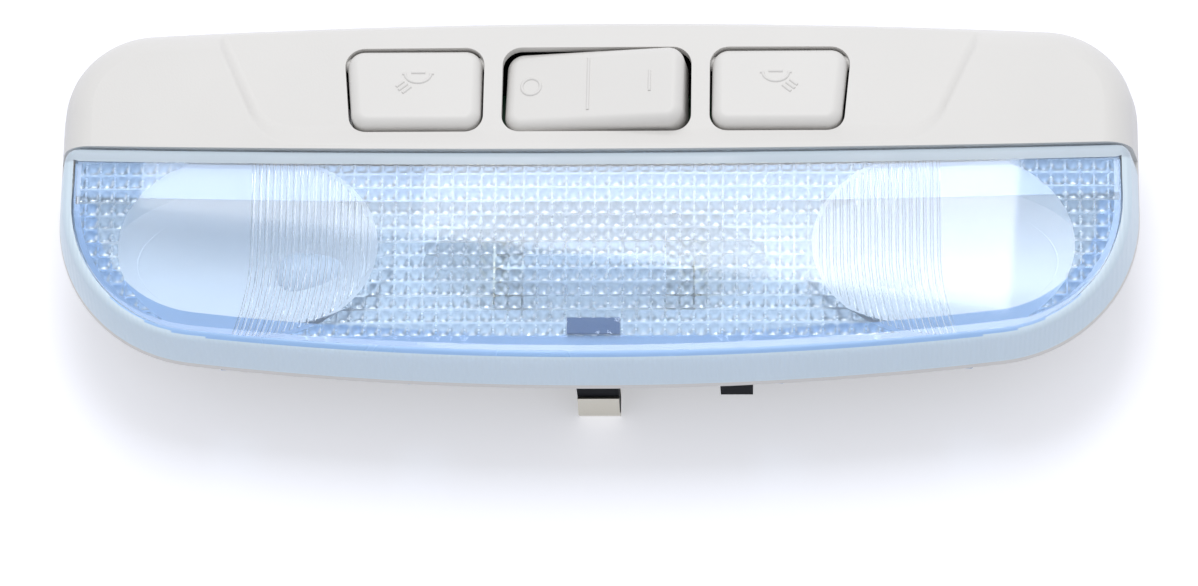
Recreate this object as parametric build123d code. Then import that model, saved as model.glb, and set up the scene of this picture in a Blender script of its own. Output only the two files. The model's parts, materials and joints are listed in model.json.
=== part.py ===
from build123d import *
import math
import os

# Overall form in millimetres: z = 0 is the headliner plane, +Z leads out of the lit face,
# +Y points to the switch side and X runs along the lamp.
width = 207.2
depth = 74.0
front_edge_radius = 630.0
rear_edge_radius = 1800.0
front_corner_radius = 30.0
rear_corner_radius = 18.0
draft_angle = 11.0
crest_height = 13.0
crown_radius = 3500.0
envelope_height = 16.0

# Rim that lies on the headliner, the plane inside it where the inner pieces meet, and the seam.
rim_width = 3.4
rim_thickness = 1.2
seat_z = 0.2
seam_y = 6.6
seam_radius = 2880.0
seam_gap = 0.5

# Bezel skin and the scooped switch panel in it.
bezel_wall = 2.2
bezel_slope = -0.105
bezel_shoulder_radius = 6.0
scoop_drop = 2.0
scoop_slope = -0.073
scoop_front_gap = 5.1
scoop_end_gap = 39.6
scoop_lean = 0.52
scoop_corner_radius = 9.0
scoop_front_run = 1.9
scoop_side_run = 0.8
scoop_hem_radius = 2.5
scoop_lip_radius = 1.0

# Keys: plan sizes, rise above the panel floor, pivots and play.
key_seam_gap = 5.5
key_rear_gap = 7.9
key_front_corner = 3.2
key_rear_corner = 3.3
key_gap = 0.45
key_front_gap = 0.7
key_rear_rise = 0.2
key_front_rise = 1.7
key_wall = 1.6
key_edge_radius = 2.1
key_skirt_z = 3.0
map_key_inner_x = 22.1
map_key_outer_x = 48.4
map_key_lean = 0.1
rocker_half_width = 17.2
rocker_end_gap = 0.95
rocker_tilt = 7.0
pivot_radius = 1.4
pivot_play = 0.06
pivot_reach = 1.7
lug_thickness = 2.2
lug_half_height = 2.8
map_pivot_inset = 2.1
map_pivot_z = 6.8
rocker_pivot_z = 6.0

# Lens with pillow optics, two clear map windows and catches.
lens_wall = 2.2
lens_slope = 0.0605
lens_thin = 1.8
lens_edge_radius = 1.6
lens_corner_radius = 2.4
pillow_pitch = 2.7
pillow_depth = 0.6
pillow_seam_gap = 3.0
pillow_inset = 5.3
window_end_inset = 0.9
window_front_gap = 6.9
window_seam_reach = 0.9
flute_pitch = 1.3
flute_depth = 0.3
hook_tab_gap = 7.1
hook_end_gap = 34.1
hook_width = 4.0
tab_x = 60.0
tab_width = 9.0
tab_reach = 1.4
tab_thickness = 1.2
tab_z = 8.6
stop_width = 10.0
stop_front_gap = 8.0
stop_thickness = 3.1
stop_bottom_z = 3.0

# Rear housing.
housing_gap = 0.3
flange_thickness = 1.8
tub_inset = 8.0
tub_wall = 1.8
tub_depth = 15.0
locating_tab_x = 26.6
locating_tab_width = 6.2
locating_tab_depth = 15.5
divider_y = 4.3
divider_thickness = 1.6
screw_end_gap = 17.6
screw_board_gap = 10.0
screw_seam_gap = 8.6
screw_rear_gap = 15.6
screw_tube_radius = 4.2
screw_seat_z = -4.0
screw_joint_z = 1.0
screw_shank_radius = 1.45
screw_head_radius = 2.8
screw_head_height = 2.4
screw_length = 11.5
screw_play = 0.05

# Spring clips on posts: the front one is in the middle, two sit at the rear.
rear_clip_x = 60.0
clip_width = 8.0
clip_strip = 0.55
clip_play = 0.05
clip_top_z = -14.2
clip_nose_z = -18.7
clip_nose_reach = 1.9
post_thickness = 3.3
post_bottom_z = -23.4

# Reflectors and bulbs.
panel_inset = 3.9
panel_thickness = 1.4
panel_rear_y = 2.5
panel_wall_end_gap = 26.0
panel_wall_foot_y = 1.6
panel_wall_y = 3.8
panel_wall_thickness = 1.2
panel_wall_top = 8.5
panel_wall_play = 0.15
dish_half_length = 33.0
dish_front_gap = 12.3
dish_rear_y = -1.0
dish_sections = ((0.0, 1.0), (4.5, 0.9), (9.0, 0.66), (12.0, 0.3))
cup_inner_x = 40.2
cup_end_gap = 12.0
cup_front_gap = 11.4
cup_rear_y = 1.0
cup_top = 4.6
cup_wall = 1.1
cup_gap = 0.3
cup_sections = ((0.0, 1.0), (4.2, 0.745), (8.4, 0.6), (12.6, 0.4), (15.6, 0.2))
wedge_axis_z = -5.2
wedge_radius = 4.6
wedge_base_x = 35.0
wedge_base_length = 9.6
wedge_base_width = 9.0
wedge_base_thickness = 2.5
wedge_bulb_length = 26.8
wedge_play = 0.15
holder_half_width = 7.0
holder_top = -0.4
festoon_z = -3.5
festoon_radius = 5.2
festoon_glass_half = 13.5
festoon_cap_radius = 4.2
festoon_cap_end = 18.0
festoon_tip_radius = 1.5
festoon_half_length = 20.5
contact_sheet = 0.6
contact_x = 19.0
contact_width = 9.0
contact_top = 1.0
strip_width = 4.0
strip_board_reach = 4.0

# Circuit board, switches and connector.
board_half_length = 58.0
board_seam_gap = 1.1
board_rear_gap = 11.0
board_top = -6.0
board_thickness = 1.6
board_screw_inset = 8.0
board_screw_radius = 1.1
board_boss_radius = 3.0
map_switch_x = 35.2
map_switch_size = 6.2
map_switch_height = 4.3
plunger_radius = 1.5
plunger_rise = 2.0
plunger_length = 4.1
plunger_play = 0.1
foot_radius = 2.0
foot_play = 0.05
slide_switch_length = 12.0
slide_switch_depth = 6.0
slide_switch_height = 3.2
knob_half_width = 1.2
knob_half_depth = 1.45
knob_rise = 2.2
knob_sink = 1.4
knob_slot_half = 4.1
fork_play = 0.25
fork_prong = 1.3
fork_end_z = -2.4
connector_x = 8.0
connector_switch_gap = 4.05
connector_length = 17.0
connector_depth = 10.0
connector_wall = 1.3
connector_end_z = -21.5
socket_top_z = -11.0
pin_count = 4
pin_pitch = 3.0
pin_side = 0.8
pin_end_z = -16.5
pin_rise = 1.2
pin_play = 0.05

# Sizes that follow from the ones above.
board_bottom = board_top - board_thickness
tub_floor = -tub_depth + tub_wall
lens_angle = math.degrees(math.atan(lens_slope))
lens_ceiling = crest_height - lens_thin - crown_radius + math.sqrt(crown_radius**2 - (width / 2) ** 2)
flange_inset = rim_width + housing_gap
half_width = width / 2
front_y = -depth / 2
rear_y = depth / 2
scoop_front_y = seam_y + scoop_front_gap
scoop_half_width = half_width - scoop_end_gap
key_front_y = seam_y + key_seam_gap
key_rear_y = rear_y - key_rear_gap
key_middle_y = (key_front_y + key_rear_y) / 2
map_pivot_y = key_rear_y - map_pivot_inset
dish_front_y = front_y + dish_front_gap
dish_y = (dish_front_y + dish_rear_y) / 2
dish_half_depth = (dish_rear_y - dish_front_y) / 2
cup_end_x = half_width - cup_end_gap
cup_x = (cup_inner_x + cup_end_x) / 2
cup_half_length = (cup_end_x - cup_inner_x) / 2
cup_front_y = front_y + cup_front_gap
cup_y = (cup_front_y + cup_rear_y) / 2
cup_half_depth = (cup_rear_y - cup_front_y) / 2
window_half_width = cup_half_length - window_end_inset
window_front_y = front_y + window_front_gap
window_rear_y = seam_y + window_seam_reach
window_y = (window_front_y + window_rear_y) / 2
window_half_height = (window_rear_y - window_front_y) / 2
pillow_rear_y = seam_y - pillow_seam_gap
pillow_rows = math.floor((pillow_rear_y - front_y - pillow_inset) / pillow_pitch)
hook_sites = (locating_tab_x + hook_tab_gap, half_width - hook_end_gap)
tab_sites = (-tab_x, 0.0, tab_x)
clip_sites = ((0.0, -1), (-rear_clip_x, 1), (rear_clip_x, 1))
screw_sites = (
    (half_width - screw_end_gap, seam_y + screw_seam_gap),
    (board_half_length + screw_board_gap, rear_y - screw_rear_gap),
)
board_front_y = seam_y + board_seam_gap
board_rear_y = rear_y - board_rear_gap
board_screw_x = board_half_length - board_screw_inset
strip_end_y = board_front_y + strip_board_reach
connector_y = key_middle_y - connector_switch_gap


def sagitta(radius, half_chord):
    """Height of a circular arc over a chord."""
    return radius - math.sqrt(radius**2 - half_chord**2)


def front_line(x, inset):
    """Y of the front outline at x, moved inwards."""
    return -depth / 2 + inset + sagitta(front_edge_radius - inset, x)


def rear_line(x, inset):
    """Y of the rear outline at x, moved inwards."""
    return depth / 2 - inset - sagitta(rear_edge_radius - inset, x)


def outline(inset=0.0):
    """Plan of the lamp on the headliner, moved inwards."""
    half = width / 2 - inset
    front = front_line(half, inset)
    rear = rear_line(half, inset)
    face = make_face(
        [
            ThreePointArc((-half, front), (0, front_line(0, inset)), (half, front)),
            Line((half, front), (half, rear)),
            ThreePointArc((half, rear), (0, rear_line(0, inset)), (-half, rear)),
            Line((-half, rear), (-half, front)),
        ]
    )
    face = fillet(face.vertices().sort_by(Axis.Y)[:2], front_corner_radius - inset)
    return fillet(face.vertices().sort_by(Axis.Y)[-2:], rear_corner_radius - inset)


def plate(face, bottom, top):
    """A plan face thickened between two heights."""
    return Pos(0, 0, bottom) * extrude(face, top - bottom)


def block(x0, x1, y0, y1, z0, z1):
    """A box between two corners."""
    return Pos((x0 + x1) / 2, (y0 + y1) / 2, (z0 + z1) / 2) * Box(x1 - x0, y1 - y0, z1 - z0)


def column(x, y, half_x, half_y, z0, z1):
    """A box around an upright axis."""
    return block(x - half_x, x + half_x, y - half_y, y + half_y, z0, z1)


def slab(z0, z1):
    """Everything between two heights."""
    return column(0, 0, width, depth, z0, z1)


def prism_x(points, x0, x1):
    """A (y, z) polygon thickened along X."""
    face = make_face(Polyline([(x0, y, z) for y, z in points], close=True))
    return Solid.extrude(face.faces()[0], Vector(x1 - x0, 0, 0))


def prism_y(points, y0, y1):
    """An (x, z) polygon thickened along Y."""
    face = make_face(Polyline([(x, y0, z) for x, z in points], close=True))
    return Solid.extrude(face.faces()[0], Vector(0, y1 - y0, 0))


def rod_x(radius, x0, x1, y, z):
    """A round bar along X."""
    return Pos((x0 + x1) / 2, y, z) * Rot(0, 90, 0) * Cylinder(radius, x1 - x0)


def rod_y(radius, x, y0, y1, z):
    """A round bar along Y."""
    return Pos(x, (y0 + y1) / 2, z) * Rot(90, 0, 0) * Cylinder(radius, y1 - y0)


def rod_z(radius, x, y, z0, z1):
    """A round bar along Z."""
    return Pos(x, y, (z0 + z1) / 2) * Cylinder(radius, z1 - z0)


def strip(points, thickness):
    """Outline of a bent strip whose middle line runs through the points."""
    sides = ([], [])
    for i, (u, v) in enumerate(points):
        before = points[max(i - 1, 0)]
        after = points[min(i + 1, len(points) - 1)]
        back = (u - before[0], v - before[1]) if i else (after[0] - u, after[1] - v)
        ahead = (after[0] - u, after[1] - v) if i < len(points) - 1 else back
        a = math.atan2(back[1], back[0])
        turn = math.remainder(math.atan2(ahead[1], ahead[0]) - a, 2 * math.pi) / 2
        reach = thickness / 2 / math.cos(turn)
        for side, sign in zip(sides, (1, -1)):
            side.append((u - sign * reach * math.sin(a + turn), v + sign * reach * math.cos(a + turn)))
    return sides[0] + sides[1][::-1]


def mirrored(shape):
    """The same piece on the other side of the lamp."""
    return mirror(shape, about=Plane.YZ)


def envelope(inset=0.0):
    """Drafted block inside the lamp's outer walls."""
    top_inset = inset + envelope_height * math.tan(math.radians(draft_angle))
    return loft([outline(inset), Pos(0, 0, envelope_height) * outline(top_inset)], ruled=True)


def under_skin(slope, drop):
    """Everything below a crowned skin that passes the seam at the crest height less a drop."""
    start = seam_y - depth
    top = crest_height - drop - slope * depth
    side = top - sagitta(crown_radius, width)
    low = -2 * depth
    face = make_face(
        [
            ThreePointArc((-width, start, side), (0, start, top), (width, start, side)),
            Polyline((width, start, side), (width, start, low), (-width, start, low), (-width, start, side)),
        ]
    )
    return Solid.extrude(face.faces()[0], Vector(0, 2 * depth, 2 * depth * slope))


def seam_side(shift, toward):
    """Tall block on one side of the seam moved by shift: +1 is the switch side, -1 the lens side."""
    near = seam_y + shift
    corner = near + sagitta(seam_radius, width)
    far = 2 * toward * depth
    face = make_face(
        [
            ThreePointArc((-width, corner), (0, near), (width, corner)),
            Polyline((width, corner), (width, far), (-width, far), (-width, corner)),
        ]
    )
    return plate(face, -depth, depth)


def panel_floor(y):
    """Height of the switch panel's floor on the middle line."""
    return crest_height - scoop_drop + scoop_slope * (y - seam_y)


def scoop(wall):
    """Space above the switch panel, moved outwards by a wall thickness."""
    floor = under_skin(scoop_slope, scoop_drop + wall)
    front_shift = wall * math.hypot(1, scoop_front_run)
    side_shift = wall * math.hypot(1, scoop_side_run)

    def plan(z):
        rise = z - panel_floor(scoop_front_y)
        front = scoop_front_y - rise * scoop_front_run - front_shift
        half = scoop_half_width + rise * scoop_side_run + side_shift + scoop_lean * (front - scoop_front_y)
        wide = half + scoop_lean * (depth - front)
        face = make_face(Polyline((-half, front), (half, front), (wide, depth), (-wide, depth), close=True))
        return Pos(0, 0, z) * fillet(face.vertices().sort_by(Axis.Y)[:2], scoop_corner_radius)

    space = loft([plan(panel_floor(depth)), plan(crest_height + bezel_wall)], ruled=True) - floor
    hem = space.faces().sort_by(Axis.Z)[0].edges().sort_by(Axis.Y)[:-1]
    return fillet(hem, scoop_hem_radius)


def key_plan(corners, grow):
    """Plan of a key from its four corners, rounded like the keys and grown with them."""
    face = make_face(Polyline(corners, close=True))
    face = fillet(face.vertices().sort_by(Axis.Y)[:2], key_front_corner + grow)
    return fillet(face.vertices().sort_by(Axis.Y)[-2:], key_rear_corner + grow)


def map_key_plan(grow=0.0, front_grow=0.0):
    """Plan of the right map button: its outer side leans outwards to the rear."""
    lean = map_key_lean * (key_rear_y - key_front_y)
    inner = map_key_inner_x - grow
    front = key_front_y - front_grow
    rear = key_rear_y + grow
    outer = map_key_outer_x + grow
    return key_plan([(inner, front), (outer - lean, front), (outer, rear), (inner, rear)], grow)


def rocker_plan(grow=0.0, end_grow=0.0, front_grow=0.0):
    """Plan of the dome rocker."""
    half = rocker_half_width + end_grow
    front = key_front_y - front_grow
    rear = key_rear_y + grow
    return key_plan([(-half, front), (half, front), (half, rear), (-half, rear)], grow)


def key_cap(plan, inner_plan):
    """Hollow key cap with a sloping top and rounded upper edges."""
    rear_top = panel_floor(key_rear_y) + key_rear_rise
    front_top = panel_floor(key_front_y) + key_front_rise
    slope = (rear_top - front_top) / (key_rear_y - key_front_y)
    y0 = key_front_y - 2
    y1 = key_rear_y + 2
    z0 = front_top + slope * (y0 - key_front_y)
    z1 = front_top + slope * (y1 - key_front_y)
    under = prism_x([(y0, 0), (y1, 0), (y1, z1), (y0, z0)], -width / 2, width / 2)
    cap = plate(plan, key_skirt_z, crest_height + key_front_rise) & under
    cap = fillet(cap.faces().sort_by(Axis.Z)[-1].edges(), key_edge_radius)
    return cap - (plate(inner_plan, key_skirt_z - 1, crest_height) & (Pos(0, 0, -key_wall) * under))


def map_outer_side(y):
    """X of the right map button's outer side at y."""
    return map_key_outer_x - map_key_lean * (key_rear_y - y)


def make_bezel():
    """Ring frame with the switch housing, its scooped panel, apertures, pivot lugs and screw bosses."""
    inside = seam_gap / 2
    shell = envelope() & under_skin(bezel_slope, 0) & seam_side(inside, 1)
    rim_edges = shell.faces().sort_by(Axis.Z)[-1].edges().sort_by(Axis.Y)
    shell = fillet(rim_edges[1:], bezel_shoulder_radius)
    space = scoop(0)
    scooped = shell - space
    shell = fillet(new_edges(shell, space, combined=scooped), scoop_lip_radius)
    hollow = envelope(bezel_wall) & under_skin(bezel_slope, bezel_wall) & seam_side(inside + bezel_wall, 1)
    hollow = hollow - scoop(bezel_wall)
    lens_seat = seam_side(-seam_gap - lens_wall - rim_width / 4, 1) & seam_side(inside + bezel_wall, -1)
    ring = envelope() & (seam_side(inside, -1) + hollow)
    ring = (ring - plate(outline(rim_width), -1, depth)) & slab(0, rim_thickness)
    bar = envelope() & lens_seat & slab(0, rim_thickness)
    aperture = plate(map_key_plan(key_gap, key_front_gap), seat_z, depth)
    dome_aperture = plate(rocker_plan(key_gap, rocker_end_gap, key_front_gap), seat_z, depth)
    shell = shell - hollow - aperture - mirrored(aperture) - dome_aperture

    adds = [ring, bar]
    cuts = [plate(outline(rim_width), -1, seat_z)]
    for x, y in screw_sites:
        for side in (x, -x):
            adds.append(rod_z(3.2, side, y, screw_joint_z, panel_floor(y) - bezel_wall / 2))
            pilot_end = screw_seat_z + screw_length + 0.4
            cuts.append(rod_z(screw_shank_radius + screw_play, side, y, 0, pilot_end))
    hole = pivot_radius + pivot_play
    y0 = map_pivot_y - lug_half_height
    y1 = map_pivot_y + lug_half_height
    lug_top = panel_floor(map_pivot_y) - bezel_wall / 2
    inner = map_key_inner_x - key_gap
    outer = map_outer_side(map_pivot_y) + key_gap
    for x0, x1, b0, b1 in (
        (inner - lug_thickness, inner, inner - lug_thickness - 0.2, inner + pivot_reach),
        (outer, outer + lug_thickness, outer - pivot_reach, outer + lug_thickness + 0.2),
    ):
        lug = block(x0, x1, y0, y1, map_pivot_z - lug_half_height, lug_top)
        bore = rod_x(hole, b0, b1, map_pivot_y, map_pivot_z)
        adds += [lug, mirrored(lug)]
        cuts += [bore, mirrored(bore)]
    front = key_front_y - key_front_gap
    rear = key_rear_y + key_gap
    for y0, y1 in ((front - lug_thickness, front), (rear, rear + lug_thickness)):
        lug_top = panel_floor(y1) - bezel_wall / 2
        low = rocker_pivot_z - lug_half_height
        adds.append(block(-lug_half_height, lug_half_height, y0, y1, low, lug_top))
        cuts.append(rod_y(hole, 0, y0 - 0.2, y1 + 0.2, rocker_pivot_z))
    body = shell + adds
    half = hook_width / 2 + housing_gap
    for x in hook_places():
        y = front_line(x, 0)
        cuts.append(block(x - half, x + half, y + 0.7, y + rim_width + 2, -1, rim_thickness + 1))
    half = tab_width / 2 + housing_gap
    for x in tab_sites:
        y = seam_y + sagitta(seam_radius, x)
        top = tab_z + tab_thickness + housing_gap
        cuts.append(block(x - half, x + half, y, y + tab_reach, tab_z - housing_gap, top))
    return body - cuts


def ceiling_comb(pitch, height, along_x, start, count, span):
    """Saw-tooth slab under the lens ceiling: ridges at a pitch, laid along one plan axis."""
    points = [(start, 0.5)]
    for i in range(count):
        points += [(start + i * pitch, 0), (start + (i + 0.5) * pitch, -height)]
    points += [(start + count * pitch, 0), (start + count * pitch, 0.5)]
    comb = prism_y(points, -span, span) if along_x else prism_x(points, -span, span)
    return Pos(0, seam_y, lens_ceiling) * Rot(lens_angle, 0, 0) * comb


def window_plan(side, grow=0.0):
    """Plan of one map window."""
    return Pos(side * cup_x, window_y) * Ellipse(window_half_width + grow, window_half_height + grow)


def hook_places():
    """X of each lens hook along the front."""
    return [side * x for x in hook_sites for side in (-1, 1)]


def make_lens():
    """Tinted moulded cover: pillow optics inside, smooth oval map windows half filled with flutes."""
    body = envelope() & under_skin(lens_slope, 0) & seam_side(-seam_gap / 2, -1)
    body = body & slab(rim_thickness, depth)
    corners = body.edges().filter_by(lambda e: abs(e.tangent_at(0.5).Z) > 0.9).sort_by(Axis.Y)[-2:]
    body = fillet(corners, lens_corner_radius)
    body = fillet(body.faces().sort_by(Axis.Z)[-1].edges(), lens_edge_radius)
    z0 = lens_ceiling - lens_slope * depth
    z1 = lens_ceiling + lens_slope * depth
    y0 = seam_y - depth
    y1 = seam_y + depth
    hollow = prism_x([(y0, -depth), (y1, -depth), (y1, z1), (y0, z0)], -width, width)
    hollow = hollow & envelope(lens_wall) & seam_side(-seam_gap / 2 - lens_wall, -1)

    columns = math.ceil(width / pillow_pitch / 2) * 2
    first_row = pillow_rear_y - seam_y - pillow_rows * pillow_pitch
    across = ceiling_comb(pillow_pitch, pillow_depth, True, -columns * pillow_pitch / 2, columns, depth)
    along = ceiling_comb(pillow_pitch, pillow_depth, False, first_row, pillow_rows, width / 2)
    field = plate(outline(pillow_inset), 0, crest_height)
    field = field & block(-width, width, first_row + seam_y, pillow_rear_y, 0, crest_height)
    flutes = []
    for side in (-1, 1):
        field = field - plate(window_plan(side), 0, crest_height)
        inner_half = sorted((0, side * cup_x))
        zone = plate(window_plan(side, -0.8), 0, crest_height)
        zone = zone & block(inner_half[0], inner_half[1], -depth, pillow_rear_y, 0, crest_height)
        count = math.ceil(window_half_width / flute_pitch)
        start = side * cup_x - (count if side > 0 else 0) * flute_pitch
        flutes.append(ceiling_comb(flute_pitch, flute_depth, True, start, count, depth) & zone)
    pillows = (across & along) & field

    catches = []
    low = -flange_thickness - 0.8
    for x in hook_places():
        y = front_line(x, 0)
        barb = [(y + 3.2, low), (y + 4.2, low + 0.7), (y + 2.3, low + 0.7)]
        hook = prism_x([(y + 1, 3), (y + 1, low), *barb, (y + 2.3, 3)], -hook_width / 2, hook_width / 2)
        catches.append(Pos(x, 0, 0) * hook)
    for x in tab_sites:
        y = seam_y + sagitta(seam_radius, x)
        reach = y + tab_reach - housing_gap
        half = tab_width / 2
        catches.append(block(x - half, x + half, y - 1.5, reach, tab_z, tab_z + tab_thickness))
    y = front_y + stop_front_gap
    half = stop_width / 2
    top = lens_ceiling + lens_slope * (y - seam_y) + lens_thin / 2
    catches.append(block(-half, half, y, y + stop_thickness, stop_bottom_z, top))
    return (body - hollow) + [pillows, *flutes, *catches]


def make_rear_housing():
    """Black tub with a flange, clip posts, locating tab and screw tubes."""
    tub = plate(outline(tub_inset), -tub_depth, 0)
    hollow = plate(outline(tub_inset + tub_wall), tub_floor, 1)
    body = plate(outline(flange_inset), -flange_thickness, seat_z) + tub - hollow
    y = divider_y + divider_thickness / 2
    adds = [tub & column(0, y, width, divider_thickness / 2, -tub_depth, -flange_thickness)]
    y = front_line(locating_tab_x, flange_inset) + 1.3
    adds.append(column(locating_tab_x, y, locating_tab_width / 2, 1.1, -locating_tab_depth, 0))
    for x, side in clip_sites:
        y = clip_face(x, side) - side * post_thickness / 2
        adds.append(column(x, y, clip_width / 2, post_thickness / 2, post_bottom_z, -flange_thickness / 2))
    cuts = []
    for x, y in screw_sites:
        for side in (x, -x):
            adds.append(rod_z(screw_tube_radius, side, y, -tub_depth, screw_joint_z))
            cuts.append(rod_z(screw_head_radius + 0.4, side, y, -tub_depth - 1, screw_seat_z))
            cuts.append(rod_z(screw_shank_radius + 0.2, side, y, screw_seat_z - 1, screw_joint_z + 1))
    for side in (board_screw_x, -board_screw_x):
        adds.append(rod_z(board_boss_radius, side, key_middle_y, tub_floor - 0.5, board_bottom))
        pilot = board_screw_radius + screw_play
        cuts.append(rod_z(pilot, side, key_middle_y, board_bottom - 5, board_bottom + 1))
    half = strip_width / 2 + housing_gap
    for x in (map_strip_x(), dome_strip_x()):
        for side in (x, -x):
            cuts.append(column(side, divider_y + 1, half, 2, tub_floor, tub_floor + 1.2))
    x = connector_length / 2 + housing_gap
    y = connector_depth / 2 + housing_gap
    cuts.append(column(connector_x, connector_y, x, y, -tub_depth - 1, tub_floor + 1))
    return body + adds - cuts


def clip_face(x, side):
    """Y of a clip post's outer face."""
    return front_line(x, flange_inset) if side < 0 else rear_line(x, flange_inset)


def make_clip(x, side):
    """Boat-shaped spring clip bent from strip, wrapped around the end of its post."""
    half = clip_strip / 2
    back = -post_thickness - clip_play - half
    bottom = post_bottom_z - clip_play - half
    points = [
        (back, clip_top_z),
        (back, bottom),
        (clip_play + half, bottom),
        (clip_nose_reach, clip_nose_z),
        (clip_play + half, clip_top_z),
    ]
    face = clip_face(x, side)
    outlined = [(face + side * u, z) for u, z in strip(points, clip_strip)]
    return prism_x(outlined, x - clip_width / 2, x + clip_width / 2)


def make_reflector_panel():
    """White panel under the lens: dish for the dome bulb, openings for the map cups, wall at the seam."""
    top = seat_z + panel_thickness
    body = plate(outline(panel_inset), seat_z, top)
    body = body & block(-width, width, -depth, panel_rear_y, -1, 2 * top)
    low = rim_thickness + panel_wall_play
    foot = top + panel_thickness / 2
    inner = panel_wall_y - panel_wall_thickness
    points = [(panel_wall_foot_y, low), (panel_wall_y, low), (panel_wall_y, panel_wall_top)]
    points += [(inner, panel_wall_top), (inner, foot), (panel_wall_foot_y, foot)]
    half = half_width - panel_wall_end_gap
    body = body + prism_x(points, -half, half)
    mouth = Pos(0, dish_y, top)
    body = body + mouth * bowl(dish_half_length, dish_half_depth, dish_sections, panel_thickness)
    cuts = [mouth * bowl(dish_half_length, dish_half_depth, dish_sections, 0)]
    half = contact_width / 2 + housing_gap
    x0 = contact_x - housing_gap
    x1 = contact_x + contact_sheet + housing_gap
    slot = block(x0, x1, dish_y - half, dish_y + half, -depth, festoon_z - festoon_tip_radius)
    opening = cup_bowl(cup_wall + cup_gap)
    cuts += [slot, mirrored(slot), opening, mirrored(opening)]
    return body - cuts


def bowl(half_length, half_depth, sections, grow):
    """Smooth oval dish below its mouth: each section is a depth and a share of the mouth."""
    faces = []
    for i, (down, share) in enumerate(sections):
        low = down + grow if i == len(sections) - 1 else down
        faces.append(Pos(0, 0, -low) * Ellipse(share * half_length + grow, share * half_depth + grow))
    return loft(faces)


def cup_bowl(grow):
    """Bowl of the right map reflector, grown outwards."""
    return Pos(cup_x, cup_y, cup_top) * bowl(cup_half_length, cup_half_depth, cup_sections, grow)


def make_map_reflector():
    """Metallised oval cup with a wide mouth, open on its inner end for the wedge bulb."""
    bulb_hole = rod_x(wedge_radius + cup_gap, wedge_base_x, cup_x, cup_y, wedge_axis_z)
    return cup_bowl(cup_wall) - cup_bowl(0) - bulb_hole


def make_map_bulb():
    """Capless wedge bulb lying along X."""
    neck = wedge_base_x + wedge_base_length
    tip = wedge_base_x + wedge_bulb_length - wedge_radius
    glass = rod_x(wedge_radius, neck, tip, cup_y, wedge_axis_z)
    glass = glass + Pos(tip, cup_y, wedge_axis_z) * Sphere(wedge_radius)
    y = wedge_base_width / 2
    z = wedge_base_thickness / 2
    return glass + block(wedge_base_x, neck + 1, cup_y - y, cup_y + y, wedge_axis_z - z, wedge_axis_z + z)


def make_bulb_holder():
    """Block on the tub floor with a slot for the wedge base."""
    x0 = wedge_base_x - 1.2
    x1 = wedge_base_x + wedge_base_length - 0.4
    half = holder_half_width
    body = block(x0, x1, cup_y - half, cup_y + half, tub_floor, holder_top)
    y = wedge_base_width / 2 + wedge_play
    z = wedge_base_thickness / 2 + wedge_play
    slot = block(wedge_base_x - 0.1, x1 + 1, cup_y - y, cup_y + y, wedge_axis_z - z, wedge_axis_z + z)
    return body - slot


def map_strip_x():
    """Middle of a map bulb's contact strip."""
    return wedge_base_x + wedge_base_length / 2


def dome_strip_x():
    """Middle of a festoon contact's strip."""
    return contact_x + contact_sheet + strip_width


def make_map_contact():
    """Bent brass strip from the bulb holder to the board."""
    low = tub_floor + contact_sheet / 2
    wall = cup_y + holder_half_width + contact_sheet / 2
    points = [(wall, wedge_axis_z), (wall, low), (strip_end_y, low), (strip_end_y, board_bottom)]
    x = map_strip_x()
    return prism_x(strip(points, contact_sheet), x - strip_width / 2, x + strip_width / 2)


def make_festoon_contact():
    """Sprung brass blade with a hole for the bulb's pointed end, and its strip to the board."""
    x1 = contact_x + contact_sheet
    half = contact_width / 2
    blade = block(contact_x, x1, dish_y - half, dish_y + half, tub_floor, contact_top)
    slope = (festoon_cap_radius - festoon_tip_radius) / (festoon_half_length - festoon_cap_end)
    hole = festoon_cap_radius - slope * (contact_x - festoon_cap_end) + screw_play
    blade = blade - rod_x(hole, contact_x - 1, x1 + 1, dish_y, festoon_z)
    x = dome_strip_x()
    low = tub_floor + contact_sheet / 2
    points = [(dish_y - half, low), (strip_end_y, low), (strip_end_y, board_bottom)]
    lead = prism_x(strip(points, contact_sheet), x - strip_width / 2, x + strip_width / 2)
    foot = block(contact_x, x, dish_y - half, dish_y + half, tub_floor, tub_floor + contact_sheet)
    return blade + foot + lead


def make_festoon_caps():
    """Metal caps on both ends of the dome bulb."""
    cap = rod_x(festoon_cap_radius, festoon_glass_half, festoon_cap_end, dish_y, festoon_z)
    length = festoon_half_length - festoon_cap_end
    point = Rot(0, 90, 0) * Cone(festoon_cap_radius, festoon_tip_radius, length)
    cap = cap + Pos(festoon_cap_end + length / 2, dish_y, festoon_z) * point
    return Compound(children=[cap, mirrored(cap)])


def pin_places():
    """X of each connector pin."""
    return [connector_x + (i - (pin_count - 1) / 2) * pin_pitch for i in range(pin_count)]


def make_board():
    """Circuit board with screw and pin holes."""
    half = board_half_length
    body = block(-half, half, board_front_y, board_rear_y, board_bottom, board_top)
    cuts = []
    for x in (board_screw_x, -board_screw_x):
        cuts.append(rod_z(board_screw_radius + 0.2, x, key_middle_y, board_bottom - 1, board_top + 1))
    for x in pin_places():
        cuts.append(rod_z(pin_side, x, connector_y, board_bottom - 1, board_top + 1))
    return body - cuts


def make_board_screws():
    """Two pan-head screws that hold the board."""
    screws = []
    for x in (-board_screw_x, board_screw_x):
        shank = rod_z(board_screw_radius, x, key_middle_y, board_bottom - 4.6, board_top)
        screws.append(shank + rod_z(2.4, x, key_middle_y, board_top, board_top + 1.8))
    return Compound(children=screws)


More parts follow.
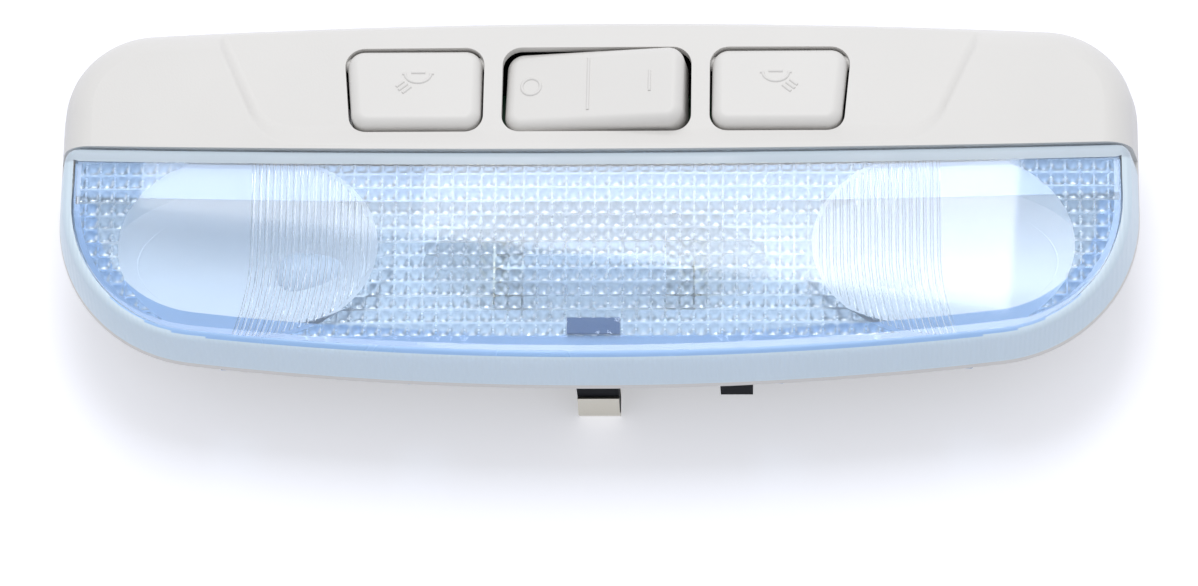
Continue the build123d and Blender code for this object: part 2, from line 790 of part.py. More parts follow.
def make_housing_screws():
    """Four screws through the tubes of the tub into the bezel's bosses."""
    screws = []
    for x, y in screw_sites:
        for side in (-x, x):
            head = rod_z(screw_head_radius, side, y, screw_seat_z - screw_head_height, screw_seat_z)
            shank = rod_z(screw_shank_radius, side, y, screw_seat_z, screw_seat_z + screw_length)
            screws.append(head + shank)
    return Compound(children=screws)


def make_map_switch():
    """Push switch body with a bore for its plunger."""
    half = map_switch_size / 2
    top = board_top + map_switch_height
    body = column(map_switch_x, key_middle_y, half, half, board_top, top)
    bore = top + plunger_rise - plunger_length - 1.2
    return body - rod_z(plunger_radius + plunger_play, map_switch_x, key_middle_y, bore, top + 1)


def make_map_plunger():
    """Plunger of a push switch."""
    top = board_top + map_switch_height + plunger_rise
    return rod_z(plunger_radius, map_switch_x, key_middle_y, top - plunger_length, top)


def make_map_button():
    """Right map button: cap with two trunnions at the rear and a ball foot over the push switch."""
    cap = key_cap(map_key_plan(), offset(map_key_plan(), -key_wall))
    inner = map_key_inner_x - key_gap - pivot_reach
    side = map_outer_side(map_pivot_y)
    outer = side + key_gap + pivot_reach
    pins = rod_x(pivot_radius, inner, map_key_inner_x + key_wall, map_pivot_y, map_pivot_z)
    pins = pins + rod_x(pivot_radius, side - key_wall, outer, map_pivot_y, map_pivot_z)
    low = board_top + map_switch_height + plunger_rise + foot_play
    ball = low + foot_radius
    foot = rod_z(foot_radius, map_switch_x, key_middle_y, ball, panel_floor(key_middle_y) - 0.3)
    foot = foot + Pos(map_switch_x, key_middle_y, ball) * Sphere(foot_radius)
    return cap + pins + foot


def rocked(shape):
    """A piece of the rocker turned to the shown position, left end pressed in."""
    return shape.rotate(Axis((0, 0, rocker_pivot_z), (0, 1, 0)), -rocker_tilt)


def make_rocker():
    """Dome rocker: cap with a trunnion front and rear and a fork around the slide knob."""
    cap = key_cap(rocker_plan(), offset(rocker_plan(), -key_wall))
    front = key_front_y - key_front_gap - pivot_reach
    rear = key_rear_y + key_gap + pivot_reach
    pins = rod_y(pivot_radius, 0, front, key_front_y + key_wall, rocker_pivot_z)
    pins = pins + rod_y(pivot_radius, 0, key_rear_y - key_wall, rear, rocker_pivot_z)
    gap = knob_half_width + fork_play
    half = gap + fork_prong
    y = key_middle_y
    stem = column(0, y, half, knob_half_depth, fork_end_z, panel_floor(y) - 0.3)
    knob_top = board_top + slide_switch_height + knob_rise
    stem = stem - column(0, y, gap, knob_half_depth + 1, fork_end_z - 1, knob_top + 1)
    return rocked(cap + pins + stem)


def make_slide_switch():
    """Slide switch body with a slot for its knob."""
    y = key_middle_y
    top = board_top + slide_switch_height
    body = column(0, y, slide_switch_length / 2, slide_switch_depth / 2, board_top, top)
    sink = top - knob_sink - plunger_play
    return body - column(0, y, knob_slot_half, knob_half_depth + plunger_play, sink, top + 1)


def knob_lever():
    """Distance from the rocker's axis down to the middle of the knob's free end."""
    return rocker_pivot_z - (fork_end_z + board_top + slide_switch_height + knob_rise) / 2


def make_slide_knob():
    """Knob of the slide switch, moved to the end that the rocker holds it at."""
    x = knob_lever() * math.sin(math.radians(rocker_tilt))
    top = board_top + slide_switch_height
    return column(x, key_middle_y, knob_half_width, knob_half_depth, top - knob_sink, top + knob_rise)


def make_connector_shell():
    """Open plug socket under the board."""
    x = connector_length / 2
    y = connector_depth / 2
    body = column(connector_x, connector_y, x, y, connector_end_z, board_bottom)
    x -= connector_wall
    y -= connector_wall
    cuts = [column(connector_x, connector_y, x, y, connector_end_z - 1, socket_top_z)]
    half = pin_side / 2 + pin_play
    for x in pin_places():
        cuts.append(column(x, connector_y, half, half, socket_top_z - 1, board_bottom + 1))
    return body - cuts


def make_connector_pins():
    """Square pins from the board into the plug socket."""
    half = pin_side / 2
    pins = []
    for x in pin_places():
        pins.append(column(x, connector_y, half, half, pin_end_z, board_top + pin_rise))
    return Compound(children=pins)


nodes = {
    "bezel": make_bezel(),
    "lens": make_lens(),
    "rear_housing": make_rear_housing(),
    "reflector_panel": make_reflector_panel(),
    "dome_bulb_glass": rod_x(festoon_radius, -festoon_glass_half, festoon_glass_half, dish_y, festoon_z),
    "dome_bulb_caps": make_festoon_caps(),
    "circuit_board": make_board(),
    "board_screws": make_board_screws(),
    "housing_screws": make_housing_screws(),
    "dome_rocker": make_rocker(),
    "slide_switch": make_slide_switch(),
    "slide_knob": make_slide_knob(),
    "connector_shell": make_connector_shell(),
    "connector_pins": make_connector_pins(),
    "clip_front": make_clip(*clip_sites[0]),
    "clip_rear_left": make_clip(*clip_sites[1]),
    "clip_rear_right": make_clip(*clip_sites[2]),
}
for name, shape in {
    "map_button": make_map_button(),
    "map_switch": make_map_switch(),
    "map_plunger": make_map_plunger(),
    "map_reflector": make_map_reflector(),
    "map_bulb": make_map_bulb(),
    "map_bulb_holder": make_bulb_holder(),
    "map_contact": make_map_contact(),
    "festoon_contact": make_festoon_contact(),
}.items():
    nodes[name + "_right"] = shape
    nodes[name + "_left"] = mirrored(shape)

os.makedirs("parts", exist_ok=True)
for name, shape in nodes.items():
    export_step(shape, f"parts/{name}.step")
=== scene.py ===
import json
import math

import bmesh
import bpy
import numpy as np
from mathutils import Matrix, Vector
from mathutils.bvhtree import BVHTree


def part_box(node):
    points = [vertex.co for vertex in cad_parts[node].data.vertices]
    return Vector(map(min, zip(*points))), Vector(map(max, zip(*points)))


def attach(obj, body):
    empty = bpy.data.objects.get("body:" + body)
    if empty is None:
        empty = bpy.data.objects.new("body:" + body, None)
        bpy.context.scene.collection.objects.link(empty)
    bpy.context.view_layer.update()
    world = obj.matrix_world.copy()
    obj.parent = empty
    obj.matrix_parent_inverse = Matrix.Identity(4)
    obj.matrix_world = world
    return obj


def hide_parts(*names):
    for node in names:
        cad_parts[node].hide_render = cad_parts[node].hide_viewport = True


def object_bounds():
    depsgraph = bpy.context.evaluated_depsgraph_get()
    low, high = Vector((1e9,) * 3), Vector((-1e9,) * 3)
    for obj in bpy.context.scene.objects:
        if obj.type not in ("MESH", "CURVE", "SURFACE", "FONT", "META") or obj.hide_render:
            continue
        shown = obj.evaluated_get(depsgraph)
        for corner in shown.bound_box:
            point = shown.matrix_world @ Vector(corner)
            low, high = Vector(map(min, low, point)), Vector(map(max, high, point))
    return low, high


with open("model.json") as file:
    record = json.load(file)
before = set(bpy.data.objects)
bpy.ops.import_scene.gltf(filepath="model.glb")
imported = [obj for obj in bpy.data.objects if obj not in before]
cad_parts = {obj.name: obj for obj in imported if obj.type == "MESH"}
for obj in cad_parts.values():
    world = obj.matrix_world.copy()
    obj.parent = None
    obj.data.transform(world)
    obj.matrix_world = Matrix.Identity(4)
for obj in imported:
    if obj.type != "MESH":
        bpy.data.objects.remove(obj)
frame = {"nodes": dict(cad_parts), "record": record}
cad_low, cad_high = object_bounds()
nodes = frame["nodes"]
node_slots = {part["node"]: part["material_slot"] for part in frame["record"]["subparts"]}

# Sizes are in millimetres until a mesh is made.
MM = 0.001

# Lens outline and skin, as in the solids: +Y leads to the switches, z = 0 is the headliner.
half_width = cad_high.x / MM
front_y = cad_low.y / MM
front_radius = 630.0
front_corner = 30.0
draft = math.radians(11.0)
seam_y = 6.6
seam_radius = 2880.0
seam_gap = 0.05
crest_height = 13.0
crown_radius = 3500.0
lens_slope = 0.0605
lens_base = 1.2
lens_wall = 2.2
lens_corner = 2.4
ceiling_height = 9.67
over_lens = crest_height + 2.0
hollow_overrun = 1.0

# Rounded upper edge of the lens, and a first guess of its inset at the walls, the seam's ends and the seam.
lens_edge_radius = 1.6
lens_edge_steps = 7
lens_edge_guess = (4.0, 2.0, 1.6)

# Finishes of the lens by their place in its list, and how far they reach.
lens_finishes = ("lens_blue", "lens_rim", "lens_pillow", "lens_painted_reflection_lip", "lens_edge")
clear_face, frosted_rim, hazy_pillow, painted_reflection_lip, painted_shade_edge = range(len(lens_finishes))
# The pale lip along the seam is a painted reflection; this is how far it reaches from the seam.
painted_lip_reach = 2.9
# Band past the rounded edge: frosted at the ends, painted shade at the front.
frost_and_shade_margin = 0.3
# The deeper blue front edge is painted shade. It starts at this row of the rounding, and later towards the
# ends.
painted_shade_edge_level = 5
painted_shade_edge_taper = 6.0

# Pillow optics: square cushions with a web between them, on a slab that reaches into the lens wall.
pillow_pitch = 2.7
pillow_depth = 0.75
pillow_web = 0.36
pillow_rows = 13
pillow_rear_y = 5.5
pillow_inset = 5.3
pillow_cuts = 10
pillow_slab_back = 1.0

# Oval map windows with ribs that fan out towards the front.
window_x = 65.9
window_y = -11.3
window_half_width = 24.8
window_half_height = 18.8
window_turns = 180
window_rib_pitch = 1.31
window_rib_radius = 0.3
window_rib_start = 0.8
window_rib_inset = 0.8
window_rib_overrun = 2.0
window_rib_bends = 9
window_rib_fan = 0.012
window_rib_fan_start = 2.0

# Skirt behind the lens's walls, with upright ribs along the front, in a deeper blue that is painted shade.
skirt_play = 0.05
skirt_foot = 0.1
skirt_thickness = 0.4
rim_rib_pitch = 0.92
rim_rib_radius = 0.22
rim_rib_height = 5.0
rim_rib_foot = 0.3
rim_rib_end_gap = 4.0
rib_vertices = 10

# Strips under the lens along the seam and along the front edge.
strip_thickness = 0.2
seam_strip_reach = 99.2
seam_strip_depth = 7.0
seam_strip_points = 61
front_strip_near = 4.2
front_strip_far = 8.1

# Reflector bowls behind the map windows.
bowl_depth = 9.0
bowl_thickness = 0.6
bowl_rings = 22
bowl_turns = 120

# Hooks that hold the lens, measured inwards from the front outline, and its stop.
hook_sites = (-69.5, -33.7, 33.7, 69.5)
hook_half_width = 2.0
hook_front = 1.0
hook_rear = 2.3
hook_root = 2.0
stop_width = 10.0
stop_rear_y = -25.9
stop_thickness = 3.1
stop_height = 1.2
stop_play = 0.02
stop_clearance = 0.1

# Raised marks on the keys; a bead sinks into the surface by a share of its radius.
mark_radius = 0.34
mark_sink = 0.2
mark_step = 0.2
map_sign_x = 34.3
map_sign_y = 23.6

# How finely the lens outline is divided, and which edges stay sharp.
arc_stations = 121
corner_stations = 15
side_rows = 24
lens_crease = math.radians(32)
inner_crease = math.radians(40)

# Grain of the mouldings: noise scales per metre, heights in millimetres.
grain_scale = 2600.0
cloud_scale = 38.0
flow_scale = 55.0
grain_height = 0.2
flute_height = 0.1


def sagitta(radius, half_chord):
    """Height of a circular arc over a chord."""
    return radius - np.sqrt(radius**2 - half_chord**2)


def seam_line(x):
    """Y of the seam between bezel and lens."""
    return seam_y + sagitta(seam_radius, x)


def skin(x, y):
    """Height of the lens's crowned outer face."""
    return crest_height - sagitta(crown_radius, x) + lens_slope * (y - seam_y)


def ceiling(y):
    """Height of the lens's flat inner face."""
    return ceiling_height + lens_slope * (y - seam_y)


corner_x = half_width - front_corner
corner_start = math.asin(corner_x / (front_radius - front_corner))
corner_y = front_y + front_radius - math.sqrt((front_radius - front_corner) ** 2 - corner_x**2)


def stations():
    """Angle and side of each point along the front: the long arc, then a corner at each end."""
    arc = np.linspace(-corner_start, corner_start, arc_stations)
    corner = np.linspace(corner_start, math.pi / 2, corner_stations)[1:]
    angle = np.concatenate([corner[::-1], arc, corner])
    side = np.concatenate([-np.ones(len(corner)), np.zeros(len(arc)), np.ones(len(corner))])
    return angle, side


station_angle, station_side = stations()
station_count = len(station_angle)
rear_stretch = slice(station_count + side_rows - 1, 2 * station_count + side_rows - 1)


def front_points(inset):
    """Front outline with its round corners, moved inwards."""
    on_arc = station_side == 0
    arc, corner = front_radius - inset, front_corner - inset
    sine, cosine = np.sin(station_angle), np.cos(station_angle)
    x = np.where(on_arc, arc * sine, station_side * (corner_x + corner * sine))
    y = np.where(on_arc, front_y + front_radius - arc * cosine, corner_y - corner * cosine)
    return x, y


def rear_points(lean, inset):
    """Seam outline: the ends lean in by the draft and the edge moves in by an inset."""
    share = front_points(0.0)[0] / half_width
    x = share * (half_width - lean - inset)
    bend_x = half_width - lean - lens_corner
    past = np.maximum(np.abs(x) - bend_x, 0.0)
    bend = np.maximum((lens_corner - inset) ** 2 - past**2, 0.0)
    flat = seam_line(x) - seam_gap - inset
    return x, np.where(past > 0, seam_line(bend_x) - seam_gap - lens_corner + np.sqrt(bend), flat)


def side_points(inset, side):
    """Straight end of the outline, from the front corner to the seam corner."""
    t = np.arange(1, side_rows) / side_rows
    top = seam_line(half_width) - seam_gap - lens_corner
    return side * (half_width - inset) + 0 * t, corner_y + (top - corner_y) * t


def closed_loop(front, right, rear, left):
    """One ring of points from its four stretches."""
    parts = [np.column_stack(front), np.column_stack(right)]
    parts += [np.column_stack(rear)[::-1], np.column_stack(left)[::-1]]
    return np.concatenate(parts)


def outline_ring(inset, rear_lean, rear_inset, height=None):
    """Ring of the lens outline; the insets are numbers or one value per point."""
    count = station_count
    cuts = np.cumsum([count, side_rows - 1, count])
    full = np.broadcast_to(inset, (2 * count + 2 * side_rows - 2,))
    front, right, _, left = np.split(full, cuts)
    lean = np.broadcast_to(rear_lean, (count,))
    pull = np.broadcast_to(rear_inset, (count,))
    ring = closed_loop(
        front_points(front),
        side_points(right, 1),
        rear_points(lean, pull),
        side_points(left[::-1], -1),
    )
    if height is None:
        return ring
    return np.column_stack([ring, np.broadcast_to(height, len(ring))])


def station_order(values):
    """Per-point values of a ring, with the rear stretch put back in station order."""
    values = np.array(values)
    values[rear_stretch] = values[rear_stretch][::-1]
    return values


def grid_index(i, j):
    """Place in a ring of the point at station i and row j, where that is on the border."""
    last = station_count - 1
    if j == 0:
        return i
    if i == last:
        return last + j
    if j == side_rows:
        return last + side_rows + (last - i)
    return 2 * last + side_rows + (side_rows - j)


def solid_from_rings(name, rings, top_height):
    """Closed object from a stack of outline rings, its top filled with rows that follow a height rule."""
    size = len(rings[0])
    points = [tuple(p) for ring in rings for p in ring]
    faces = []
    for level in range(len(rings) - 1):
        a = level * size
        for k in range(size):
            n = (k + 1) % size
            faces.append((a + k, a + n, a + size + n, a + size + k))
    last = station_count - 1
    top = (len(rings) - 1) * size
    for base, flip, rule in ((0, True, None), (top, False, top_height)):
        cells = {}
        for i in range(station_count):
            for j in range(side_rows + 1):
                if i in (0, last) or j in (0, side_rows):
                    cells[i, j] = base + grid_index(i, j)
                    continue
                front = np.array(points[base + grid_index(i, 0)])
                rear = np.array(points[base + grid_index(i, side_rows)])
                p = front + (rear - front) * j / side_rows
                if rule:
                    p[2] = rule(p[0], p[1])
                cells[i, j] = len(points)
                points.append(tuple(p))
        for i in range(last):
            for j in range(side_rows):
                quad = (cells[i, j], cells[i + 1, j], cells[i + 1, j + 1], cells[i, j + 1])
                faces.append(quad[::-1] if flip else quad)
    return solid_object(name, points, faces)


def solid_object(name, points, faces):
    """Mesh object from points in millimetres, with its normals turned outwards."""
    mesh = bpy.data.meshes.new(name)
    mesh.from_pydata([tuple(c * MM for c in p) for p in points], [], faces)
    bm = bmesh.new()
    bm.from_mesh(mesh)
    bmesh.ops.remove_doubles(bm, verts=bm.verts, dist=1e-7)
    bmesh.ops.recalc_face_normals(bm, faces=bm.faces)
    bm.to_mesh(mesh)
    bm.free()
    return link(bpy.data.objects.new(name, mesh))


def link(obj):
    """Puts an object into the scene."""
    bpy.context.scene.collection.objects.link(obj)
    return obj


def settled(obj):
    """The object's evaluated mesh as its own plain mesh, its modifiers removed."""
    graph = bpy.context.evaluated_depsgraph_get()
    mesh = bpy.data.meshes.new_from_object(obj.evaluated_get(graph))
    obj.modifiers.clear()
    obj.data = mesh
    return obj


def combine(target, tool, operation):
    """Union, difference or intersection of two closed objects; the tool is used up."""
    modifier = target.modifiers.new("combine", "BOOLEAN")
    modifier.operation = operation
    modifier.solver = "MANIFOLD"
    modifier.object = tool
    settled(target)
    bpy.data.objects.remove(tool)
    return target


def wear(obj, materials, index=0):
    """Gives an object a list of finishes, and each face, or all of them, a place in it."""
    obj.data.materials.clear()
    for material in materials:
        obj.data.materials.append(material)
    count = len(obj.data.polygons)
    obj.data.polygons.foreach_set("material_index", np.broadcast_to(index, (count,)).astype(np.int32))
    return obj


def smooth(obj, crease):
    """Shades an object smooth, apart from edges that are sharper than a crease angle."""
    obj.data.shade_smooth()
    obj.data.set_sharp_from_angle(angle=crease)


def moved_points(obj, rule):
    """Moves each vertex of an object by a rule on its millimetre coordinates."""
    mesh = obj.data
    flat = np.zeros(len(mesh.vertices) * 3)
    mesh.vertices.foreach_get("co", flat)
    x, y, z = flat.reshape(-1, 3).T / MM
    mesh.vertices.foreach_set("co", (np.column_stack(rule(x, y, z)) * MM).ravel())
    mesh.update()
    return obj


def prism(name, outline, low, high):
    """Upright closed prism over a plan outline."""
    count = len(outline)
    points = [(x, y, low) for x, y in outline] + [(x, y, high) for x, y in outline]
    faces = [tuple(range(count))[::-1], tuple(range(count, 2 * count))]
    faces += [(k, (k + 1) % count, count + (k + 1) % count, count + k) for k in range(count)]
    return solid_object(name, points, faces)


class Tree:
    """A node tree that is built step by step."""

    def __init__(self, tree):
        self.tree = tree

    def add(self, kind, links=None, **settings):
        """A new node; settings are its properties, links its sockets by name or place."""
        node = self.tree.nodes.new(kind)
        for key, value in settings.items():
            setattr(node, key, value)
        return self.put(node, links or {})

    def put(self, node, links):
        """Links or sets the sockets of a node."""
        for key, value in links.items():
            socket = node.inputs[key]
            if isinstance(value, bpy.types.NodeSocket):
                self.tree.links.new(value, socket)
            else:
                socket.default_value = value
        return node

    def math(self, operation, *values):
        """A number worked out from others."""
        return self.add("ShaderNodeMath", dict(enumerate(values)), operation=operation).outputs[0]


class Group(Tree):
    """A node group with named inputs and outputs."""

    def __init__(self, name, kind, inputs, outputs):
        super().__init__(bpy.data.node_groups.new(name, kind))
        for way, sockets in (("INPUT", inputs), ("OUTPUT", outputs)):
            for label, value in sockets.items():
                self.tree.interface.new_socket(label, in_out=way, socket_type="NodeSocket" + value)
        self.inputs = self.tree.nodes.new("NodeGroupInput").outputs
        self.results = self.tree.nodes.new("NodeGroupOutput")


class Growth(Group):
    """A geometry node tree with a start mesh, named sizes and a material."""

    def __init__(self, name, **sizes):
        inputs = {"Geometry": "Geometry", **sizes, "Material": "Material"}
        super().__init__(name, "GeometryNodeTree", inputs, {"Geometry": "Geometry"})

    def end(self, geometry):
        """Ends the tree in a real mesh that has the material."""
        whole = self.add("GeometryNodeRealizeInstances", {"Geometry": geometry}).outputs[0]
        done = self.add("GeometryNodeSetMaterial", {"Geometry": whole, "Material": self.inputs["Material"]})
        self.put(self.results, {"Geometry": done.outputs[0]})
        return self.tree


def grown(name, tree, mesh=None, **values):
    """An object made by a geometry node tree, from a start mesh if given, and turned into a plain mesh."""
    obj = link(bpy.data.objects.new(name, mesh or bpy.data.meshes.new(name)))
    modifier = obj.modifiers.new("grow", "NODES")
    modifier.node_group = tree
    for socket in tree.interface.items_tree:
        if socket.in_out == "INPUT" and socket.name in values:
            modifier[socket.identifier] = values[socket.name]
    return settled(obj)


def pillow_tree():
    """Sheet of square cushions hanging from a plane, with a narrow web between them."""
    t = Growth("pillow sheet", Pitch="Float", Web="Float", Depth="Float",
               Columns="Int", Rows="Int", Cuts="Int")

    def grid(*sizes):
        return t.add("GeometryNodeMeshGrid", dict(enumerate(sizes))).outputs[0]

    pitch, cuts, columns, rows = (t.inputs[label] for label in ("Pitch", "Cuts", "Columns", "Rows"))
    points = t.math("ADD", cuts, 1.0)
    cell = grid(2.0, 2.0, points, points)
    place = t.add("ShaderNodeSeparateXYZ", {"Vector": t.add("GeometryNodeInputPosition").outputs[0]})
    half_web = t.math("MULTIPLY", t.inputs["Web"], 0.5)
    half = t.math("SUBTRACT", t.math("MULTIPLY", pitch, 0.5), half_web)
    reach = t.math("DIVIDE", cuts, t.math("SUBTRACT", cuts, 2.0))
    spread, bow = [], []
    for axis in place.outputs[:2]:
        along = t.math("MULTIPLY", t.math("ABSOLUTE", axis), reach)
        inside = t.math("MINIMUM", along, 1.0)
        beyond = t.math("DIVIDE", t.math("SUBTRACT", along, inside), t.math("SUBTRACT", reach, 1.0))
        away = t.math("ADD", t.math("MULTIPLY", inside, half), t.math("MULTIPLY", beyond, half_web))
        spread.append(t.math("MULTIPLY", away, t.math("SIGN", axis)))
        bow.append(t.math("SUBTRACT", 1.0, t.math("MULTIPLY", inside, inside)))
    drop = t.math("MULTIPLY", t.math("MULTIPLY", *bow), t.math("MULTIPLY", t.inputs["Depth"], -1.0))
    moved = t.add("ShaderNodeCombineXYZ", {"X": spread[0], "Y": spread[1], "Z": drop}).outputs[0]
    cushion = t.add("GeometryNodeSetPosition", {"Geometry": cell, "Position": moved})
    wide = t.math("MULTIPLY", pitch, t.math("SUBTRACT", columns, 1.0))
    tall = t.math("MULTIPLY", pitch, t.math("SUBTRACT", rows, 1.0))
    field = grid(wide, tall, columns, rows)
    laid = t.add("GeometryNodeInstanceOnPoints", {"Points": field, "Instance": cushion.outputs[0]})
    whole = t.add("GeometryNodeRealizeInstances", {"Geometry": laid.outputs[0]})
    joined = t.add("GeometryNodeMergeByDistance", {"Geometry": whole.outputs[0], "Distance": 1e-6})
    return t.end(joined.outputs[0])


def rib_tree():
    """Row of round bars at a pitch along X, each lying along Y or standing along Z."""
    t = Growth("rib row", Pitch="Float", Count="Int", Radius="Float", Length="Float", Turn="Float")
    size = {"Vertices": rib_vertices, "Radius": t.inputs["Radius"], "Depth": t.inputs["Length"]}
    bar = t.add("GeometryNodeMeshCylinder", size)
    tilt = t.add("ShaderNodeCombineXYZ", {"X": t.inputs["Turn"]}).outputs[0]
    step = t.add("ShaderNodeCombineXYZ", {"X": t.inputs["Pitch"]}).outputs[0]
    line = t.add("GeometryNodeMeshLine", {"Count": t.inputs["Count"], "Offset": step})
    placed = {"Points": line.outputs[0], "Instance": bar.outputs[0], "Rotation": tilt}
    return t.end(t.add("GeometryNodeInstanceOnPoints", placed).outputs[0])


def bead_tree():
    """Round bead along each line of the start mesh."""
    t = Growth("bead", Radius="Float")
    path = t.add("GeometryNodeMeshToCurve", {"Mesh": t.inputs["Geometry"]})
    size = {"Resolution": rib_vertices, "Radius": t.inputs["Radius"]}
    ring = t.add("GeometryNodeCurvePrimitiveCircle", size)
    swept = {"Curve": path.outputs[0], "Profile Curve": ring.outputs[0], "Fill Caps": True}
    return t.end(t.add("GeometryNodeCurveToMesh", swept).outputs[0])


def lens_outer(materials):
    """The lens as a full block: clear crowned face, frosted rim whose blue front edge is painted shade, and a
    pale seam lip that is a painted reflection.
    """
    radius = lens_edge_radius
    guess = outline_ring(*lens_edge_guess)
    centre = skin(guess[:, 0], guess[:, 1]) - radius
    reach = radius / math.cos(draft) + centre * math.tan(draft)
    rear_reach = reach[rear_stretch][::-1]
    foot = lens_base * math.tan(draft)
    rings = [outline_ring(foot, foot, 0.0, lens_base)]
    for k in range(lens_edge_steps + 1):
        share = k / lens_edge_steps
        turn = draft + (math.pi / 2 - draft) * share
        rear_turn = math.pi / 2 * share
        inset = reach - radius * math.cos(turn)
        rear_inset = radius * (1 - math.cos(rear_turn))
        lean = rear_reach - radius * math.cos(turn) - rear_inset
        height = centre + radius * math.sin(turn)
        height[rear_stretch] = centre[rear_stretch] + radius * math.sin(rear_turn)
        rings.append(outline_ring(station_order(inset), lean, rear_inset, height))
    # The last ring sets off the front margin, partly painted shade, and the seam lip, a painted reflection.
    edge = outline_ring(station_order(reach + frost_and_shade_margin), rear_reach - radius, painted_lip_reach)
    rings.append(np.column_stack([edge, skin(edge[:, 0], edge[:, 1])]))
    block = solid_from_rings("lens_cover", rings, skin)
    size = len(rings[0])
    walls = (len(rings) - 1) * size

    def finish_place(face):
        x, y = face.center.xy / MM
        if face.index >= walls:
            return clear_face
        # Pale lip along the seam: a painted reflection.
        if y > seam_line(x) - painted_lip_reach:
            return painted_reflection_lip
        # Upper rows of the front rounding: deeper blue, painted shade.
        start = painted_shade_edge_level + max(abs(x) - corner_x, 0.0) / painted_shade_edge_taper
        return painted_shade_edge if face.index // size >= start else frosted_rim

    return wear(block, materials, [finish_place(face) for face in block.data.polygons])


def lens_hollow():
    """Space inside the lens walls up to the flat inner face."""
    low, high = lens_base - hollow_overrun, ceiling_height
    rings = []
    for z in (low, high):
        lean = z * math.tan(draft)
        rings.append(outline_ring(lens_wall + lean, lean, lens_wall, z))
    rings[-1][:, 2] = ceiling(rings[-1][:, 1])
    return solid_from_rings("lens_hollow", rings, lambda x, y: ceiling(y))


def window_prism(side, grow, high):
    """Oval column of one map window."""
    turn = np.linspace(0, 2 * math.pi, window_turns, endpoint=False)
    x = side * window_x + (window_half_width + grow) * np.cos(turn)
    y = window_y + (window_half_height + grow) * np.sin(turn)
    return prism("window", list(zip(x, np.minimum(y, pillow_rear_y))), 0, high)


def pillow_slab(materials):
    """The pillow sheet closed to a slab whose back lies inside the lens wall."""
    columns = math.ceil(half_width / pillow_pitch) * 2
    slab = grown("pillows", pillow_tree(), Pitch=pillow_pitch * MM, Web=pillow_web * MM,
                 Depth=pillow_depth * MM, Columns=columns, Rows=pillow_rows, Cuts=pillow_cuts,
                 Material=materials[hazy_pillow])
    bm = bmesh.new()
    bm.from_mesh(slab.data)
    border = [e for e in bm.edges if e.is_boundary]
    raised = bmesh.ops.extrude_edge_only(bm, edges=border)["geom"]
    for v in raised:
        if isinstance(v, bmesh.types.BMVert):
            v.co.z = pillow_slab_back * MM
    bmesh.ops.contextual_create(bm, geom=[e for e in bm.edges if e.is_boundary])
    bmesh.ops.recalc_face_normals(bm, faces=bm.faces)
    bm.to_mesh(slab.data)
    bm.free()
    wear(slab, materials, hazy_pillow)
    middle = pillow_rear_y - pillow_rows * pillow_pitch / 2
    return moved_points(slab, lambda x, y, z: (x, y + middle, z + ceiling(y + middle)))


def bendable(obj, cuts):
    """Cuts the long edges of bars so that they can bend."""
    bm = bmesh.new()
    bm.from_mesh(obj.data)
    long_edges = [e for e in bm.edges if e.calc_length() > window_half_height * MM]
    bmesh.ops.subdivide_edges(bm, edges=long_edges, cuts=cuts, use_grid_fill=True)
    bm.to_mesh(obj.data)
    bm.free()


def window_ribs(side, tree, material):
    """Fine ribs under the inner half of a map window, fanning out towards the front."""
    count = int(window_half_width / window_rib_pitch)
    length = 2 * (window_half_height + window_rib_overrun)
    ribs = grown("window_ribs", tree, Pitch=window_rib_pitch * MM, Count=count, Radius=window_rib_radius * MM,
                 Length=length * MM, Turn=math.pi / 2, Material=material)
    bendable(ribs, window_rib_bends)

    def place(x, y, z):
        fan = np.maximum(-y - window_rib_fan_start, 0) ** 2 * window_rib_fan
        along = y + window_y
        return side * (window_x - window_rib_start - x + fan), along, z + ceiling(along)

    moved_points(ribs, place)
    if side > 0:
        ribs.data.flip_normals()
    return combine(ribs, window_prism(side, -window_rib_inset, crest_height), "INTERSECT")


def hook(x):
    """One lens hook that drops through the rim."""
    y = front_y + sagitta(front_radius, x)
    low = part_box("lens")[0].z / MM
    left, right = x - hook_half_width, x + hook_half_width
    front, rear = y + hook_front, y + hook_rear
    plan = [(left, front), (right, front), (right, rear), (left, rear)]
    return prism("hook", plan, low, lens_base + hook_root)


def stop_plan(grow=0.0):
    """Plan of the stop block under the lens."""
    half = stop_width / 2 + grow
    rear = stop_rear_y + grow
    front = stop_rear_y - stop_thickness - grow
    return [(-half, front), (half, front), (half, rear), (-half, rear)]


def make_lens(rib_row, materials):
    """Tinted lens with pillow optics, clear map windows, ribs and hooks."""
    lens = combine(lens_outer(materials), lens_hollow(), "DIFFERENCE")
    field = prism("field", outline_ring(pillow_inset, 0.0, seam_gap), 0, over_lens)
    slab = combine(pillow_slab(materials), field, "INTERSECT")
    for side in (-1, 1):
        combine(slab, window_prism(side, 0, over_lens), "DIFFERENCE")
    combine(slab, prism("stop_space", stop_plan(stop_clearance), 0, over_lens), "DIFFERENCE")
    combine(lens, slab, "UNION")
    for side in (-1, 1):
        combine(lens, window_ribs(side, rib_row, materials[clear_face]), "UNION")
    for x in hook_sites:
        combine(lens, hook(x), "UNION")
    smooth(lens, lens_crease)
    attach(lens, "lamp")
    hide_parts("lens")


def make_stop(material):
    """Stop block that hangs from the lens ceiling near the front edge."""
    stop = prism("lens_stop", stop_plan(), -stop_height, 0.0)
    moved_points(stop, lambda x, y, z: (x, y, z + ceiling(y) - stop_play))
    wear(stop, [material])
    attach(stop, "lamp")


def wall_path(inset):
    """The ends and the front of the outline as one open line from seam to seam."""
    left = np.column_stack(side_points(inset, -1))[::-1]
    front = np.column_stack(front_points(inset))
    return np.concatenate([left, front, np.column_stack(side_points(inset, 1))])


